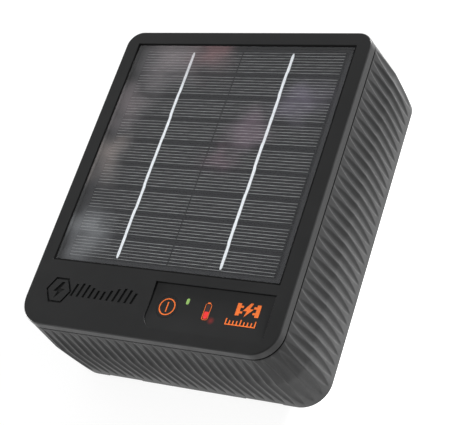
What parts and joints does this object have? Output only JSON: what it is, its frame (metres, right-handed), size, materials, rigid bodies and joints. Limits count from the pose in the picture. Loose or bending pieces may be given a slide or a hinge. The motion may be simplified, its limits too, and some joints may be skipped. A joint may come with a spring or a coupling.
{
  "type": "solar fence energizer",
  "caption": "Box-shaped solar fence energizer with a square panel in its face, ribbed bulged sides, a sloped control strip with a press button, and screw terminals in bays on the back.",
  "frame": {"origin": "centre of the outline at the level of the back face", "axes": "+Z out of the solar face, +Y along the length towards the end away from the controls, +X to the right"},
  "size_m": [0.1576, 0.1876, 0.0646],
  "materials": {
    "cover_plastic": "fine spark texture, charcoal",
    "body_plastic": "fine spark texture, mid grey",
    "rubber": "matt black",
    "clear_glass": "smooth, faint tint",
    "silicon": "blue-grey cell with printed silver fingers",
    "ribbon": "tinned solder ribbon",
    "backing": "dark laminate",
    "zinc_steel": "zinc plated",
    "brass": "machined",
    "board": "green solder mask",
    "black_plastic": "moulded black",
    "green_lens": "lit green",
    "red_lens": "lit red",
    "capacitor_film": "dipped blue",
    "ferrite": "pressed ferrite",
    "bobbin": "glass filled nylon",
    "copper": "enamelled copper wire",
    "cell_wrap": "shrink sleeve",
    "red_plastic": "moulded red",
    "green_plastic": "moulded green"
  },
  "bodies": {
    "root": {"front_cover": "cover_plastic", "case_body": "body_plastic", "perimeter_seal": "rubber", "window_gasket": "rubber", "solar_glass": "clear_glass", "solar_cell_1": "silicon", "solar_cell_2": "silicon", "solar_cell_3": "silicon", "solar_cell_4": "silicon", "solar_cell_5": "silicon", "solar_cell_6": "silicon", "solar_cell_7": "silicon", "solar_cell_8": "silicon", "solar_cell_9": "silicon", "busbar_ribbon_left": "ribbon", "busbar_ribbon_right": "ribbon", "solar_backsheet": "backing", "case_screw_1": "zinc_steel", "case_screw_2": "zinc_steel", "case_screw_3": "zinc_steel", "case_screw_4": "zinc_steel", "case_screw_5": "zinc_steel", "case_screw_6": "zinc_steel", "board_screw_1": "zinc_steel", "board_screw_2": "zinc_steel", "board_screw_3": "zinc_steel", "hanger_screw_1": "zinc_steel", "hanger_screw_2": "zinc_steel", "hanger_plate": "zinc_steel", "fence_nut": "zinc_steel", "earth_nut": "zinc_steel", "fence_contact_washer": "zinc_steel", "earth_contact_washer": "zinc_steel", "fence_stud": "brass", "earth_stud": "brass", "main_board": "board", "tact_switch": "black_plastic", "controller_chip": "black_plastic", "thyristor": "black_plastic", "battery_holder": "black_plastic", "panel_lead": "black_plastic", "power_light_pipe": "green_lens", "power_led": "green_lens", "battery_light_pipe": "red_lens", "battery_led": "red_lens", "storage_capacitor": "capacitor_film", "transformer_core_lower": "ferrite", "transformer_core_upper": "ferrite", "transformer_bobbin": "bobbin", "transformer_winding": "copper", "battery_cell_1": "cell_wrap", "battery_cell_2": "cell_wrap", "fence_lead": "red_plastic", "earth_lead": "green_plastic"},
    "power_button": {"power_button": "cover_plastic"},
    "tact_plunger": {"tact_plunger": "black_plastic"},
    "fence_washer": {"fence_clamp_washer": "zinc_steel"},
    "fence_knob": {"fence_knob": "red_plastic"},
    "earth_washer": {"earth_clamp_washer": "zinc_steel"},
    "earth_knob": {"earth_knob": "green_plastic"}
  },
  "joints": [
    {"name": "power_button_press", "type": "slide", "parent": "root", "child": "power_button", "axis": [0, 0, -1], "range_m": [0, 0.0005], "stiffness_N_per_m": 4000, "springref_m": -0.0002},
    {"name": "tact_plunger_press", "type": "slide", "parent": "root", "child": "tact_plunger", "axis": [0, 0, -1], "range_m": [0, 0.0005]},
    {"name": "fence_washer_lift", "type": "slide", "parent": "root", "child": "fence_washer", "axis": [0, 0, -1], "range_m": [0, 0.004]},
    {"name": "fence_knob_turn", "type": "hinge", "parent": "fence_washer", "child": "fence_knob", "pos_m": [0.0432, -0.0715, 0.014], "axis": [0, 0, -1], "range_deg": [0, 1152]},
    {"name": "earth_washer_lift", "type": "slide", "parent": "root", "child": "earth_washer", "axis": [0, 0, -1], "range_m": [0, 0.004]},
    {"name": "earth_knob_turn", "type": "hinge", "parent": "earth_washer", "child": "earth_knob", "pos_m": [-0.0432, -0.0715, 0.014], "axis": [0, 0, -1], "range_deg": [0, 1152]}
  ],
  "couplings": [
    {"joint": "tact_plunger_press", "follows": "power_button_press", "ratio": 1},
    {"joint": "fence_knob_turn", "follows": "fence_washer_lift", "rad_per_m": 5026.5},
    {"joint": "earth_knob_turn", "follows": "earth_washer_lift", "rad_per_m": 5026.5}
  ]
}
